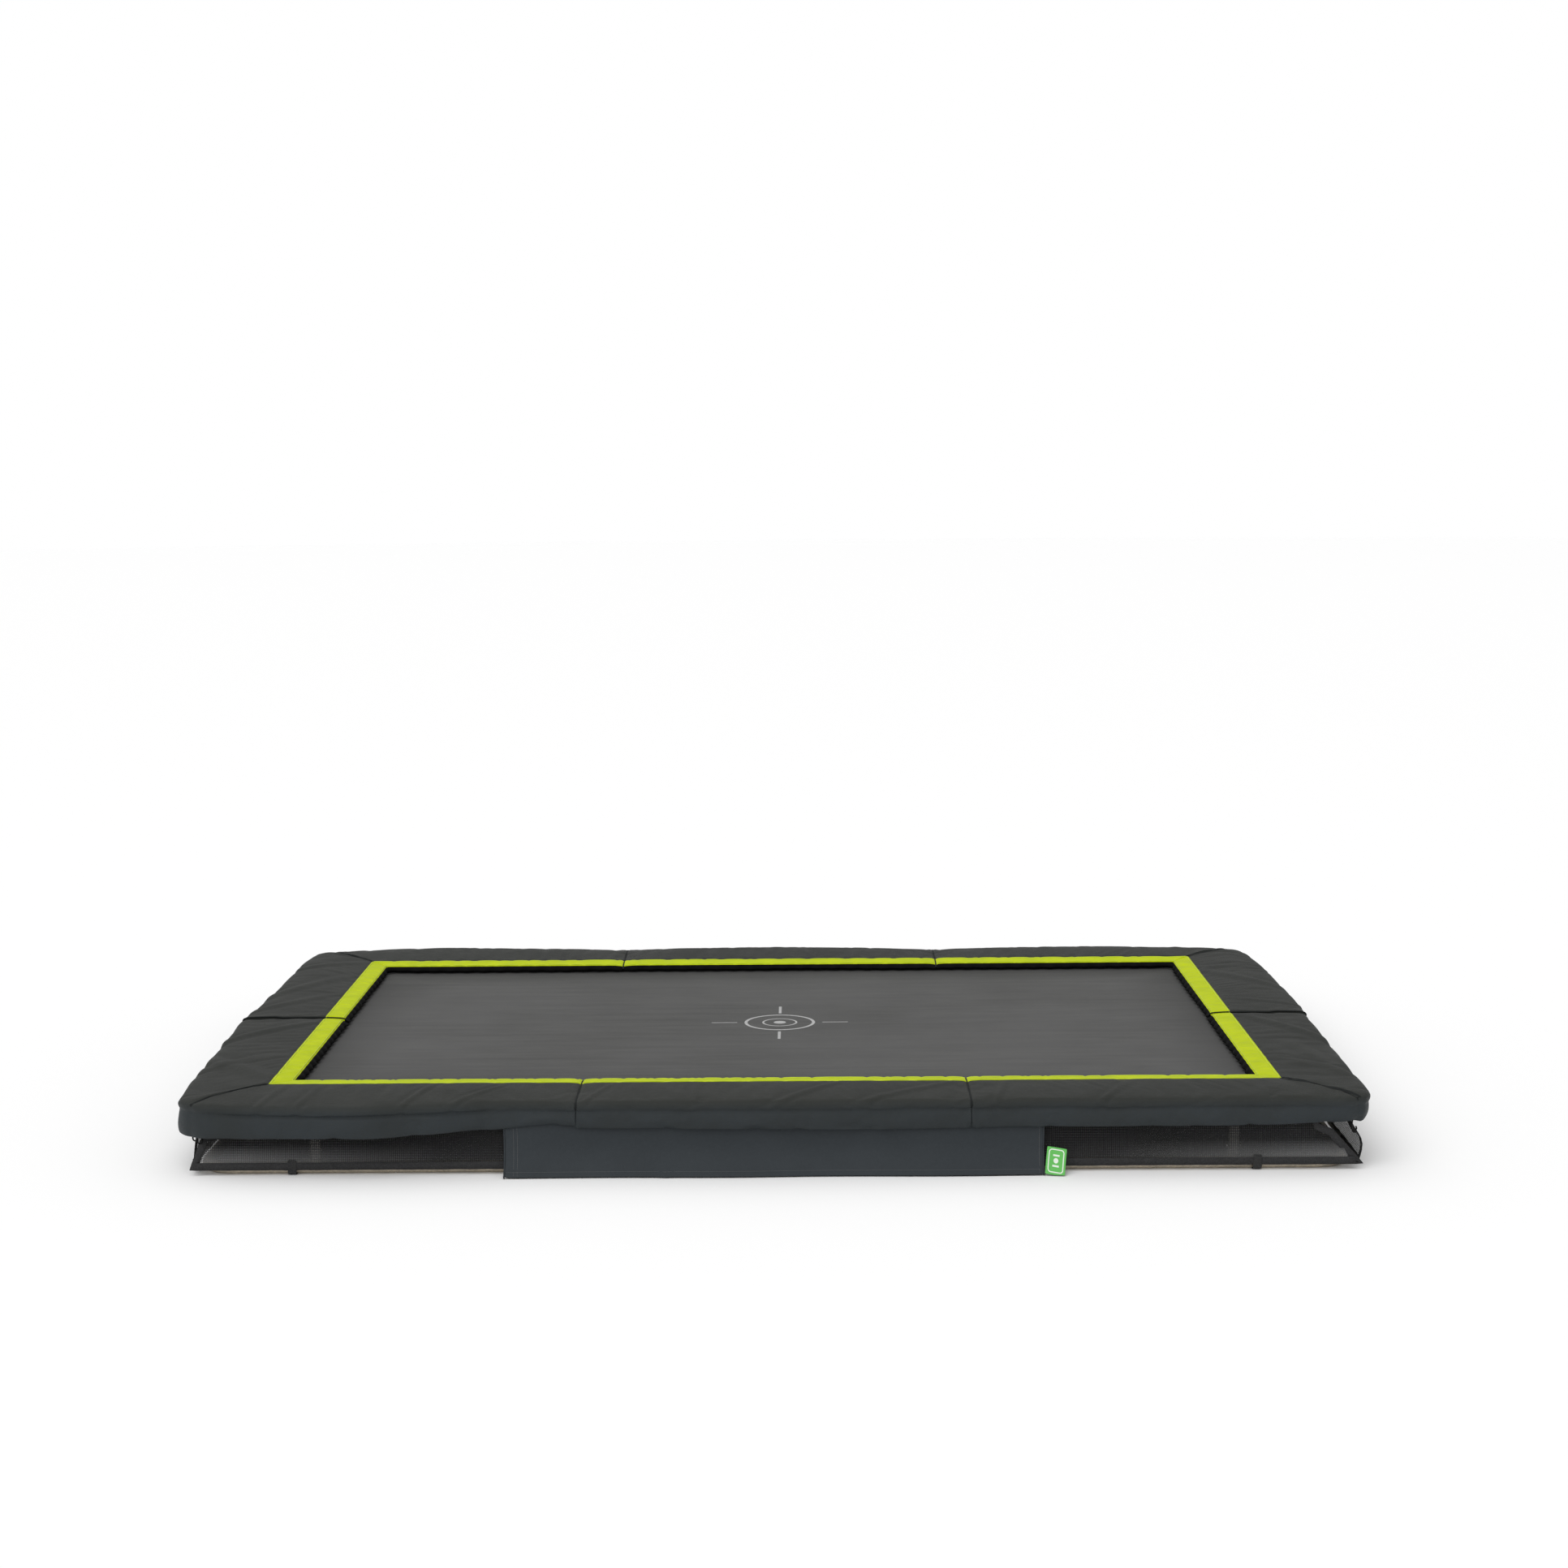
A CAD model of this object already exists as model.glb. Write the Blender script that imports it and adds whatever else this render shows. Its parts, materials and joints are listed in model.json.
import json
import math

import bmesh
import bpy
from mathutils import Matrix, Vector, noise
from mathutils.bvhtree import BVHTree
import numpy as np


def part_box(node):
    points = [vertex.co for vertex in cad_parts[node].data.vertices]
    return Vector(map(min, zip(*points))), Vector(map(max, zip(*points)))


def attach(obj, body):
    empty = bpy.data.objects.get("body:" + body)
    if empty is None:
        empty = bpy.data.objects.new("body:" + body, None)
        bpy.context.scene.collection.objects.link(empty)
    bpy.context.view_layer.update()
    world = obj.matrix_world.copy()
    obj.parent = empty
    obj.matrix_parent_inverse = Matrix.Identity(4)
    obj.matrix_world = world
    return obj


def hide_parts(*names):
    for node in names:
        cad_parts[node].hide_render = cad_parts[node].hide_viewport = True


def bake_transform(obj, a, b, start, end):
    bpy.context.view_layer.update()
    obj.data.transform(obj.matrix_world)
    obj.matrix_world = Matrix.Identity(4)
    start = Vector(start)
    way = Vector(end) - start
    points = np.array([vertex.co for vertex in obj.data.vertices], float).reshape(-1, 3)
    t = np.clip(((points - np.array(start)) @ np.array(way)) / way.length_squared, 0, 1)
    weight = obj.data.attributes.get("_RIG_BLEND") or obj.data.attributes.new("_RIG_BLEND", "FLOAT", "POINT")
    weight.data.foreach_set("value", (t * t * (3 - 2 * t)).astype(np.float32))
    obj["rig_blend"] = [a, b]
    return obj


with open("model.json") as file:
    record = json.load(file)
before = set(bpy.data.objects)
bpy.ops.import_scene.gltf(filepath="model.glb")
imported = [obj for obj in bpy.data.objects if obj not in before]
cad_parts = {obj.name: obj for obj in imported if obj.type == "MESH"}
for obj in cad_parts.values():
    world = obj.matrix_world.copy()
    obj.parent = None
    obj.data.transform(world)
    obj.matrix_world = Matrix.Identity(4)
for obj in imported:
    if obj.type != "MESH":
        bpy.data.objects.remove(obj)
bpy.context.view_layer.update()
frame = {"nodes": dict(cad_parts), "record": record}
scene = bpy.context.scene
record = frame["record"]
print("frame loaded:", len(frame["nodes"]), "nodes")

sides = {"front": (0, -1), "back": (0, 1), "left": (-1, 0), "right": (1, 0)}
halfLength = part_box("pad_corner_front_right")[1].x
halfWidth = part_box("pad_corner_back_left")[1].y
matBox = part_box("jumping_mat")


# Shader maths


class Wire:  # one output of a node; sums and products on it add Math nodes
    def __init__(self, finish, socket):
        self.finish, self.socket = finish, socket

    def math(self, operation, *others):
        return self.finish.make("ShaderNodeMath", {"operation": operation}, dict(enumerate((self, *others))))

    def __add__(self, other):
        return self.math("ADD", other)

    def __sub__(self, other):
        return self.math("SUBTRACT", other)

    def __mul__(self, other):
        return self.math("MULTIPLY", other)

    def __rsub__(self, other):
        return self.math("MULTIPLY", -1.0).math("ADD", other)

    __radd__ = __add__
    __rmul__ = __mul__

    def step(self, edge, width):  # 0 under the edge, 1 over it, over a soft width
        spread = {"From Min": edge - width / 2, "From Max": edge + width / 2, "Value": self}
        return self.finish.make("ShaderNodeMapRange", {"interpolation_type": "SMOOTHSTEP"}, spread)

    def within(self, middle, half, width):  # 1 inside a band
        return 1 - (self - middle).math("ABSOLUTE").step(half, width)

    def spread(self, low, high, toLow, toHigh):
        values = {"Value": self, "From Min": low, "From Max": high, "To Min": toLow, "To Max": toHigh}
        return self.finish.make("ShaderNodeMapRange", {}, values)


class Finish:  # a material and its node tree
    def __init__(self, name, roughness=0.5, metallic=0.0):
        self.material = bpy.data.materials.new(name)
        self.material.use_nodes = True
        self.tree = self.material.node_tree
        self.shader = self.tree.nodes["Principled BSDF"]
        self.set("Roughness", roughness)
        self.set("Metallic", metallic)
        self.coords = self.make("ShaderNodeTexCoord", out="Object")

    def make(self, kind, settings=None, values=None, out=0):
        node = self.tree.nodes.new(kind)
        for name, value in (settings or {}).items():
            setattr(node, name, value)
        for name, value in (values or {}).items():
            self.join(node.inputs[name], value)
        return Wire(self, node.outputs[out])

    def join(self, socket, value):
        if isinstance(value, Wire):
            self.tree.links.new(value.socket, socket)
        else:
            socket.default_value = value

    def set(self, name, value):
        self.join(self.shader.inputs[name], value)

    def axis(self, source, name):
        return self.make("ShaderNodeSeparateXYZ", {}, {"Vector": source}, out=name)

    def scaled(self, source, scale):
        return self.make("ShaderNodeMapping", {}, {"Vector": source, "Scale": scale})

    def noise(self, source, scale, detail=2.0, roughness=0.5, distortion=0.0):
        values = {"Scale": scale, "Detail": detail, "Roughness": roughness, "Distortion": distortion}
        return self.make("ShaderNodeTexNoise", {}, {"Vector": source, **values}, out="Fac")

    def mix(self, amount, first, second, blend="MIX"):
        settings = {"data_type": "RGBA", "blend_type": blend}
        return self.make("ShaderNodeMix", settings, {0: amount, 6: first, 7: second}, out=2)

    def bump(self, height, distance, strength=1.0, under=None):
        values = {"Height": height, "Distance": distance, "Strength": strength}
        if under:
            values["Normal"] = under
        return self.make("ShaderNodeBump", {}, values)


def grey(value, blue=0.0):
    return (value, value, value * (1 + blue), 1)


def toned(colour, factor, more=0.0):
    return tuple(c * factor + more for c in colour[:3]) + (1,)


def vinylFinish(name, colour, tint, roughness, gloss=0.07):  # scrim-backed vinyl cloth
    look = Finish(name, roughness)
    z = look.axis(look.coords, "Z")
    clouds = look.noise(look.coords, 5.0, 4.0, 0.6)
    fine = look.noise(look.coords, 90.0, 3.0, 0.6)
    base = look.mix(z.spread(0.236, 0.205, 0.0, 1.0), colour, tint)
    base = look.mix(clouds.spread(0.35, 0.65, 0.0, 0.40), base, toned(colour, 0.80))
    base = look.mix(fine.spread(0.45, 0.75, 0.0, 0.30), base, toned(colour, 1.16))
    look.set("Base Color", base)
    look.set("Roughness", roughness + (clouds - 0.5) * 0.16 + (fine - 0.5) * 0.10)
    threadX = (look.axis(look.coords, "X") * 5200.0).math("SINE")
    threadY = (look.axis(look.coords, "Y") * 5200.0).math("SINE")
    threadZ = (z * 5200.0).math("SINE")
    weave = threadX * threadY + threadZ * 0.5
    creases = look.noise(look.coords, 22.0, 5.0, 0.62, 0.8)
    under = look.bump(creases, 0.0035, 0.55)
    look.set("Normal", look.bump(weave, 0.00012, 0.5, under))
    look.set("Specular IOR Level", gloss)
    return look.material


def limeFinish():
    look = Finish("limeVinyl", 0.42)
    clouds = look.noise(look.coords, 14.0, 4.0, 0.6)
    base = look.mix(clouds.spread(0.3, 0.7, 0.0, 1.0), (0.43, 0.53, 0.002, 1), (0.52, 0.62, 0.004, 1))
    look.set("Base Color", base)
    look.set("Specular IOR Level", 0.07)
    look.set("Roughness", 0.44 + clouds * 0.14)
    creases = look.noise(look.coords, 34.0, 4.0, 0.6, 0.9)
    look.set("Normal", look.bump(creases, 0.003, 0.6))
    return look.material


def webbingFinish(name, colour):  # woven tape, ribs across its length
    look = Finish(name, 0.85)
    x, y, z = (look.axis(look.coords, name) for name in "XYZ")
    ribs = ((x + y) * 2600.0).math("SINE") * ((z + x * 0.3) * 1900.0).math("SINE")
    fuzz = look.noise(look.coords, 260.0, 3.0, 0.6)
    look.set("Base Color", look.mix(fuzz.spread(0.4, 0.8, 0.0, 0.8), colour, toned(colour, 2.6, 0.012)))
    look.set("Normal", look.bump(ribs * 0.5 + fuzz, 0.0006, 0.8))
    return look.material


def netFinish():  # knitted mesh cloth: threads with open holes between
    look = Finish("meshCloth", 0.75)
    uv = look.make("ShaderNodeUVMap", {"uv_map": "UVMap"})
    u, v = look.axis(uv, "X"), look.axis(uv, "Y")
    across = (u * (math.pi / netCloth["holeWide"])).math("SINE").math("ABSOLUTE")
    down = (v * (math.pi / netCloth["holeHigh"])).math("SINE").math("ABSOLUTE")
    hole = across.step(netCloth["threadWide"], 0.16) * down.step(netCloth["threadHigh"], 0.16)
    look.set("Alpha", 1 - hole)
    fuzz = look.noise(look.coords, 400.0, 2.0)
    base = look.mix(fuzz, grey(0.006), grey(0.030))
    z = look.axis(look.coords, "Z")
    ends = look.axis(look.coords, "X").math("ABSOLUTE").spread(1.05, 1.80, 0.08, 1.0)
    dust = z.spread(0.015, 0.095, 1.0, 0.0) * ends
    look.set("Base Color", look.mix(dust * 0.78, base, grey(0.30)))
    look.set("Specular IOR Level", 0.10)
    look.set("Normal", look.bump(across + down, 0.0006, 0.6))
    return look.material


def steelFinish(name, light, dark, roughness, spangle=140.0, metallic=0.85):
    look = Finish(name, roughness, metallic)
    cells = look.make("ShaderNodeTexVoronoi", {"feature": "F1"}, {"Vector": look.coords, "Scale": spangle}, "Color")
    tone = look.axis(cells, "X")
    dirt = look.noise(look.coords, 7.0, 5.0, 0.65)
    base = look.mix(tone, light, dark)
    look.set("Base Color", look.mix(dirt.spread(0.52, 0.75, 0.0, 0.6), base, toned(dark, 0.55)))
    look.set("Roughness", roughness + (tone - 0.5) * 0.14 + (dirt - 0.5) * 0.2)
    scratches = look.noise(look.scaled(look.coords, (6.0, 40.0, 260.0)), 5.0, 3.0)
    look.set("Normal", look.bump(scratches, 0.0004, 0.4))
    return look.material


def plainFinish(name, colour, roughness, metallic=0.0, bumps=60.0, depth=0.0006, gloss=0.5):
    look = Finish(name, roughness, metallic)
    fine = look.noise(look.coords, bumps, 3.0, 0.6)
    look.set("Base Color", look.mix(fine, colour, toned(colour, 0.8)))
    look.set("Roughness", roughness + (fine - 0.5) * 0.15)
    look.set("Normal", look.bump(fine, depth, 0.6))
    look.set("Specular IOR Level", gloss)
    return look.material


# Mesh helpers


def meshOf(bm, name):
    mesh = bpy.data.meshes.new(name)
    bm.to_mesh(mesh)
    bm.free()
    return mesh


def seat(bm, name, *finishes, body="frame", smooth=True, crease=60):  # a bmesh becomes a piece in place
    bmesh.ops.recalc_face_normals(bm, faces=bm.faces[:])
    mesh = meshOf(bm, name)
    if smooth:
        mesh.shade_smooth()
        mesh.set_sharp_from_angle(angle=math.radians(crease))
    piece = bpy.data.objects.new(name, mesh)
    scene.collection.objects.link(piece)
    for finish in finishes:
        mesh.materials.append(finish)
    if body:
        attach(piece, body)
    return piece


def subdivided(piece):
    smoother = piece.modifiers.new("smoother", "SUBSURF")
    smoother.levels = smoother.render_levels = 1


def walled(piece, thickness):
    wall = piece.modifiers.new("wall", "SOLIDIFY")
    wall.thickness, wall.offset = thickness, 0


def gridOf(bm, across, along, place, uv=None):  # a grid whose points go where place(row, column) says
    made = bmesh.ops.create_grid(bm, x_segments=across, y_segments=along, size=0.5)["verts"]
    grid = {}
    for vert in made:
        row, column = round((vert.co.x + 0.5) * across), round((vert.co.y + 0.5) * along)
        vert.co = place(row, column)
        grid[row, column] = vert
    if uv:
        layer = bm.loops.layers.uv.get("UVMap") or bm.loops.layers.uv.new("UVMap")
        places = {vert: key for key, vert in grid.items()}
        for face in {face for vert in made for face in vert.link_faces}:
            for loop in face.loops:
                loop[layer].uv = uv(*places[loop.vert])
    return grid


def ringPlan(inset, turn, radius):  # a point of a rounded corner: turn 0 on the long side, 1 on the short side
    r = max(radius - inset, 0.006)
    angle = math.pi / 2 * (1 - turn)
    return halfLength - inset - r + r * math.cos(angle), halfWidth - inset - r + r * math.sin(angle)


def wave(place, seed, scale=1.0):  # smooth noise from -1 to 1
    return noise.noise(Vector(place) * scale + Vector((seed * 17.3, seed * 5.7, seed * 11.1)))


def tube(bm, points, radius, sides=6, closed=False):  # a round wire along points, drawn out ring by ring
    points = [Vector(p) for p in points]
    last = len(points) - 1
    ways = [(points[min(i + 1, last)] - points[max(i - 1, 0)]).normalized() for i in range(last + 1)]
    if closed:
        ways = [(points[(i + 1) % (last + 1)] - points[i - 1]).normalized() for i in range(last + 1)]
    turn = ways[0].to_track_quat("Z", "X")
    matrix = Matrix.Translation(points[0]) @ turn.to_matrix().to_4x4()
    first = bmesh.ops.create_circle(bm, segments=sides, radius=radius, matrix=matrix, cap_ends=not closed)
    ring = {edge for vert in first["verts"] for edge in vert.link_edges}
    start = list(ring)
    for i in range(1, len(points)):
        made = bmesh.ops.extrude_edge_only(bm, edges=list(ring))["geom"]
        verts = [g for g in made if isinstance(g, bmesh.types.BMVert)]
        bend = ways[i - 1].rotation_difference(ways[i]).to_matrix()
        bmesh.ops.rotate(bm, verts=verts, cent=points[i - 1], matrix=bend)
        bmesh.ops.translate(bm, verts=verts, vec=points[i] - points[i - 1])
        edges = [g for g in made if isinstance(g, bmesh.types.BMEdge)]
        ring = {edge for edge in edges if all(vert in verts for vert in edge.verts)}
    if closed:
        bmesh.ops.bridge_loops(bm, edges=list(ring) + start)
    else:
        bmesh.ops.edgeloop_fill(bm, edges=list(ring))


def between(table, at):  # a value read off a table of (place, value)
    if at <= table[0][0]:
        return table[0][1]
    for (a, first), (b, second) in zip(table, table[1:]):
        if at <= b:
            t = (at - a) / (b - a)
            t = t * t * (3 - 2 * t)
            return first + (second - first) * t
    return table[-1][1]


# Camera, light and floor

camera = {"place": (0.105, -9.206, 2.244), "pitch": 0.126, "yaw": -0.008, "roll": -0.008, "focus": 3204.8, "wide": 1932}


def setCamera():
    data = bpy.data.cameras.new("camera")
    data.sensor_width = 36
    data.lens = data.sensor_width * camera["focus"] / camera["wide"]
    eye = bpy.data.objects.new("camera", data)
    scene.collection.objects.link(eye)
    pitch, yaw, roll = camera["pitch"], camera["yaw"], camera["roll"]
    ahead = Vector((math.sin(yaw) * math.cos(pitch), math.cos(yaw) * math.cos(pitch), -math.sin(pitch)))
    right = Vector((math.cos(yaw), -math.sin(yaw), 0))
    up = right.cross(ahead)
    axisX = right * math.cos(roll) + up * math.sin(roll)
    axisY = up * math.cos(roll) - right * math.sin(roll)
    turn = Matrix((axisX, axisY, -ahead)).transposed().to_4x4()
    eye.matrix_world = Matrix.Translation(camera["place"]) @ turn
    scene.camera = eye


studio = {
    "floor": 0.995,
    "floorRadius": 60,
    "floorDrop": 0.0005,
    "backdrop": 1.0,
    "sky": 0.50,
    "lamps": [  # name, strength, softness in degrees, direction
        ("lampKey", 1.45, 70, (0.35, 0.80, -1.0)),
        ("lampTop", 0.60, 80, (0.25, -0.35, -1.0)),
    ],
}


def setStudio():
    world = bpy.data.worlds.new("studio")
    world.use_nodes = True
    tree = world.node_tree
    background = tree.nodes["Background"]
    background.inputs["Color"].default_value = (1, 1, 1, 1)
    seen = tree.nodes.new("ShaderNodeLightPath").outputs["Is Camera Ray"]
    strength = tree.nodes.new("ShaderNodeMapRange")  # white to look at, dimmer as a light
    strength.inputs["To Min"].default_value = studio["sky"]
    strength.inputs["To Max"].default_value = studio["backdrop"]
    tree.links.new(seen, strength.inputs["Value"])
    tree.links.new(strength.outputs[0], background.inputs["Strength"])
    scene.world = world
    scene.view_settings.view_transform = "Standard"
    for name, power, spread, aim in studio["lamps"]:
        data = bpy.data.lights.new(name, "SUN")
        data.energy, data.angle = power, math.radians(spread)
        lamp = bpy.data.objects.new(name, data)
        lamp.rotation_euler = Vector(aim).to_track_quat("-Z", "Y").to_euler()
        lamp.location = (0, 0, 4)
        scene.collection.objects.link(lamp)
    bm = bmesh.new()
    bmesh.ops.create_circle(bm, cap_ends=True, segments=64, radius=studio["floorRadius"])
    bmesh.ops.translate(bm, verts=bm.verts[:], vec=(0, 0, -studio["floorDrop"]))
    look = Finish("studioFloor", 0.9)
    look.set("Base Color", (studio["floor"],) * 3 + (1,))
    floor = seat(bm, "floor", look.material, body=None, smooth=False)


setCamera()
setStudio()
print("camera, light and floor set")

# Finishes

netCloth = {"holeWide": 0.0042, "holeHigh": 0.0050, "threadWide": 0.76, "threadHigh": 0.72}
charcoal = vinylFinish("charcoalVinyl", (0.031, 0.033, 0.030, 1), (0.034, 0.040, 0.044, 1), 0.48)
skirtVinyl = vinylFinish("skirtVinyl", (0.038, 0.044, 0.049, 1), (0.038, 0.044, 0.049, 1), 0.42)
lime = limeFinish()
lipBlack = plainFinish("blackEdging", grey(0.004), 0.75, gloss=0.06)
webbing = webbingFinish("blackWebbing", grey(0.012))
hemTape = webbingFinish("netBinding", grey(0.012, 0.05))
meshCloth = netFinish()
galvanised = steelFinish("galvanisedSteel", (0.62, 0.60, 0.55, 1), (0.45, 0.44, 0.41, 1), 0.42)
groundSteel = steelFinish("groundRailSteel", (0.60, 0.53, 0.42, 1), (0.46, 0.41, 0.33, 1), 0.5, metallic=0.55)
zincWire = steelFinish("springZinc", (0.72, 0.72, 0.70, 1), (0.55, 0.55, 0.54, 1), 0.28, 60.0, 1.0)
print("finishes made")

# Pads

padCut = {
    "corner": 0.085,  # plan radius of the outer corner
    "joint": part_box("pad_front_middle")[1].x,
    "gap": 0.0014,
    "spacing": 0.0115,
    "fan": 10,
    "under": 0.2178,
    "seamDip": 0.0060,
    "lipFlare": 0.012,
    "underGap": 0.0028,  # between the flap's two faces
    "endRound": 0.0115,
    "endShare": 0.62,  # of the height left at a rounded end
    "foamSide": 0.235,  # how far in the outer side's shape reaches
    "crown": 0.24,  # width of the crowned part
    "mitreWide": 1.6,  # in stations of the bend
    "tapes": {"left": 0.010, "right": 0.020},  # width of the tape on a mitre seam
}
# a pad's stations lie closer near its ends
endSteps = [0.0, 0.0022, 0.0055, 0.0115, 0.021]
# the cover's outside, from the flap's hem up over the ridge to the inner lip: inset and height
coverRows = [
    (0.0015, 0.1450), (-0.0010, 0.1520), (-0.0030, 0.1620), (-0.0035, 0.1740), (-0.0015, 0.1860), (0.0005, 0.1970),
    (0.0045, 0.2050), (0.0010, 0.2105), (-0.0012, 0.2170), (-0.0003, 0.2245), (0.0036, 0.2310), (0.0105, 0.2355),
    (0.0195, 0.2378), (0.0340, 0.2396), (0.0520, 0.2410), (0.0720, 0.2422), (0.0920, 0.2432), (0.1120, 0.2440),
    (0.1320, 0.2446), (0.1520, 0.2450), (0.1720, 0.2452), (0.1920, 0.2452), (0.2100, 0.2449), (0.2220, 0.2441),
    (0.2290, 0.2422), (0.2350, 0.2440), (0.2470, 0.2436), (0.2590, 0.2429), (0.2710, 0.2420), (0.2830, 0.2408),
    (0.2930, 0.2388), (0.2986, 0.2352), (0.3010, 0.2310), (0.3035, 0.2250), (0.3060, 0.2165),
]
flapRows, limeRow, lipRow = 7, 24, 31
frontHem = [
    (-1.86, 0.124), (-1.70, 0.128), (-1.30, 0.129), (-0.90, 0.146), (-0.70, 0.162), (-0.625, 0.158),
    (-0.615, 0.150), (-0.40, 0.150), (0.10, 0.145), (0.37, 0.143), (0.60, 0.144), (0.76, 0.148),
    (1.40, 0.147), (1.86, 0.155),
]
# how far the outer edge bellies out along each side
belly = {
    "left": [(-1.25, 0.0), (-1.15, 0.030), (-0.92, 0.045), (-0.57, 0.046), (-0.29, 0.060), (-0.03, 0.072),
             (0.03, 0.070), (0.24, 0.058), (0.58, 0.050), (0.98, 0.048), (1.15, 0.034), (1.25, 0.0)],
    "right": [(-1.25, 0.020), (-1.10, 0.028), (-0.98, 0.026), (-0.60, 0.030), (-0.15, 0.038), (0.10, 0.050),
              (0.71, 0.044), (1.08, 0.030), (1.25, 0.006)],
    "front": [(-1.86, 0.0), (-1.62, 0.026), (-1.32, 0.042), (-1.10, 0.024), (-0.90, -0.006), (-0.62, 0.002),
              (-0.26, 0.010), (0.10, 0.012), (0.62, 0.0), (1.19, 0.005), (1.60, 0.0), (1.86, 0.006)],
    "back": [(-1.86, 0.0), (-1.38, 0.020), (-0.64, 0.004), (-0.04, 0.012), (0.62, 0.0), (1.22, 0.010),
             (1.86, -0.004)],
}
# how much higher than the front's the outer ridge is
ridgeLift = {
    "left": [(-1.25, -0.002), (-0.60, 0.004), (0.0, 0.002), (0.6, 0.006), (1.25, 0.009)],
    "right": [(-1.25, 0.0), (-0.60, 0.003), (0.1, 0.001), (0.7, 0.003), (1.25, -0.002)],
    "front": [(-1.86, -0.002), (-1.40, -0.007), (-1.0, -0.002), (-0.75, 0.0), (-0.62, -0.003), (-0.50, 0.0),
              (0.40, 0.0), (0.62, -0.002), (0.80, 0.0), (1.70, 0.0), (1.86, -0.001)],
    "back": [(-1.86, 0.007), (-1.38, 0.015), (-0.95, 0.011), (-0.64, 0.006), (-0.30, 0.010), (-0.04, 0.011),
             (0.30, 0.008), (0.62, 0.001), (0.95, 0.006), (1.22, 0.007), (1.60, 0.003), (1.86, -0.002)],
}
# soft folds pulled across the covers: from, to, height and half width
folds = [
    ((-1.65, -0.09), (-1.91, -0.48), 0.0075, 0.024), ((-1.63, -0.96), (-1.88, -0.62), 0.0040, 0.036),
    ((-1.65, 0.75), (-1.90, 0.27), 0.0040, 0.028), ((-1.65, 0.39), (-1.90, 0.04), 0.0040, 0.024),
    ((-1.66, -0.60), (-1.90, -0.86), 0.0030, 0.030), ((-1.64, 1.00), (-1.88, 0.86), 0.0035, 0.026),
    ((1.65, -0.05), (1.88, -0.50), 0.0075, 0.024), ((1.72, -0.46), (1.84, -1.04), 0.0040, 0.028),
    ((1.63, 0.76), (1.85, 0.42), 0.0040, 0.028), ((1.66, 0.22), (1.88, 0.10), 0.0035, 0.020),
    ((1.63, -0.70), (1.84, -0.96), 0.0030, 0.030), ((-1.57, -1.05), (-1.62, -1.26), 0.0040, 0.014),
    ((-1.45, -1.05), (-1.50, -1.26), 0.0030, 0.013), ((-1.09, -1.05), (-1.17, -1.26), 0.0045, 0.013),
    ((-0.86, -1.06), (-1.02, -1.26), 0.0035, 0.014), ((-0.52, -1.05), (-0.60, -1.25), 0.0045, 0.012),
    ((0.22, -1.04), (0.00, -1.26), 0.0040, 0.016), ((0.59, -1.04), (0.26, -1.26), 0.0040, 0.016),
    ((0.74, -1.05), (0.70, -1.25), 0.0035, 0.012), ((1.16, -1.04), (1.02, -1.26), 0.0035, 0.015),
]


def foldLift(x, y):
    lift = 0.0
    for (fromX, fromY), (toX, toY), height, wide in folds:
        runX, runY = toX - fromX, toY - fromY
        length = math.hypot(runX, runY)
        t = ((x - fromX) * runX + (y - fromY) * runY) / length ** 2
        off = ((x - fromX) * runY - (y - fromY) * runX) / length / wide
        if 0 < t < 1.1 and abs(off) < 3:
            fade = math.sin(math.pi * min(1.0, t / 1.1)) ** 0.7
            lift += height * fade * (math.exp(-off * off) - 0.6 * math.exp(-((abs(off) - 1.3) / 0.5) ** 2))
    return lift


def sidesAt(x, y):  # the side that a point lies on, and where along it
    if halfLength - abs(x) < halfWidth - abs(y):
        return ("right" if x > 0 else "left"), y
    return ("back" if y > 0 else "front"), x


def hemHeight(x, y):  # how low the flap hangs there
    if y < -halfWidth + 0.15 and abs(x) < halfLength - 0.02:
        return between(frontHem, x)
    low = 0.146 + 0.007 * wave((x, y, 0), 3, 1.6) + (-0.006 if x < 0 and y < 0 else 0.004)
    return low - (0.016 * min(1.0, max(0.0, (-0.95 - y) / 0.25)) if x < 0 else 0.0)


def padEnds():  # stations of a corner pad in its own quarter: kind 0 long arm, 1 bend, 2 short arm
    first, last = padCut["joint"] + padCut["gap"], padCut["gap"] / 2
    longArm, shortArm = halfLength - padCut["corner"] - first, halfWidth - padCut["corner"] - last
    arms = []
    for length in (longArm, shortArm):
        count = round(length / padCut["spacing"])
        steps = [e / length for e in endSteps]
        arms.append(steps + [steps[-1] + (1 - steps[-1]) * i / count for i in range(1, count)])
    stations = [(0, t, t * longArm) for t in arms[0]]
    stations += [(1, i / padCut["fan"], 9.0) for i in range(padCut["fan"] + 1)]
    stations += [(2, 1 - t, t * shortArm) for t in reversed(arms[1])]
    return stations


def cornerPlace(station, inset):
    kind, t, _ = station
    if kind == 1:
        return ringPlan(inset, t, padCut["corner"])
    if kind == 0:
        start, (endX, endY) = padCut["joint"] + padCut["gap"], ringPlan(inset, 0, padCut["corner"])
        return start + (endX - start) * t, endY
    startX, startY = ringPlan(inset, 1, padCut["corner"])
    return startX, startY + (padCut["gap"] / 2 - startY) * t


def middleStations():
    half = padCut["joint"]
    count = round(2 * half / padCut["spacing"])
    inner = [endSteps[-1] + (2 * half - 2 * endSteps[-1]) * i / count for i in range(1, count)]
    places = endSteps + inner + [2 * half - e for e in reversed(endSteps)]
    return [(3, p - half, min(p, 2 * half - p)) for p in places]


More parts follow.
